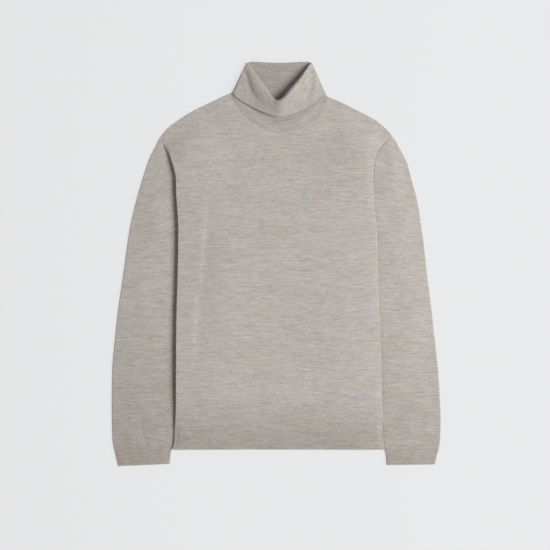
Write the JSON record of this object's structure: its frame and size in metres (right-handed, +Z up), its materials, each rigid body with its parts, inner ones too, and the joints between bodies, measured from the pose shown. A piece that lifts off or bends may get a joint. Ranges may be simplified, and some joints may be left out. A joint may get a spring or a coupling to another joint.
{
  "type": "roll-neck sweater",
  "caption": "Fine-knit roll-neck sweater laid flat face up, long sleeves beside the body, sides tucked under, collar folded over.",
  "frame": {"origin": "middle of the laid-out outline, on the surface that the sweater lies on", "axes": "+X from the right arm as worn towards the left arm, +Y from the hem to the neck, +Z up out of the front"},
  "size_m": [0.6328, 0.7773, 0.0236],
  "materials": {
    "front_panel": "matt wool knit",
    "back_panel": "matt wool knit",
    "hem_rib_front": "matt wool rib",
    "hem_rib_back": "matt wool rib",
    "sleeve_left": "matt wool knit",
    "sleeve_right": "matt wool knit",
    "cuff_rib_left": "matt wool rib",
    "cuff_rib_right": "matt wool rib",
    "roll_collar": "matt wool knit"
  },
  "bodies": {
    "root": {"front_panel": "front_panel", "back_panel": "back_panel", "hem_rib_front": "hem_rib_front", "hem_rib_back": "hem_rib_back", "sleeve_left": "sleeve_left", "sleeve_right": "sleeve_right", "cuff_rib_left": "cuff_rib_left", "cuff_rib_right": "cuff_rib_right", "roll_collar": "roll_collar"}
  },
  "joints": []
}
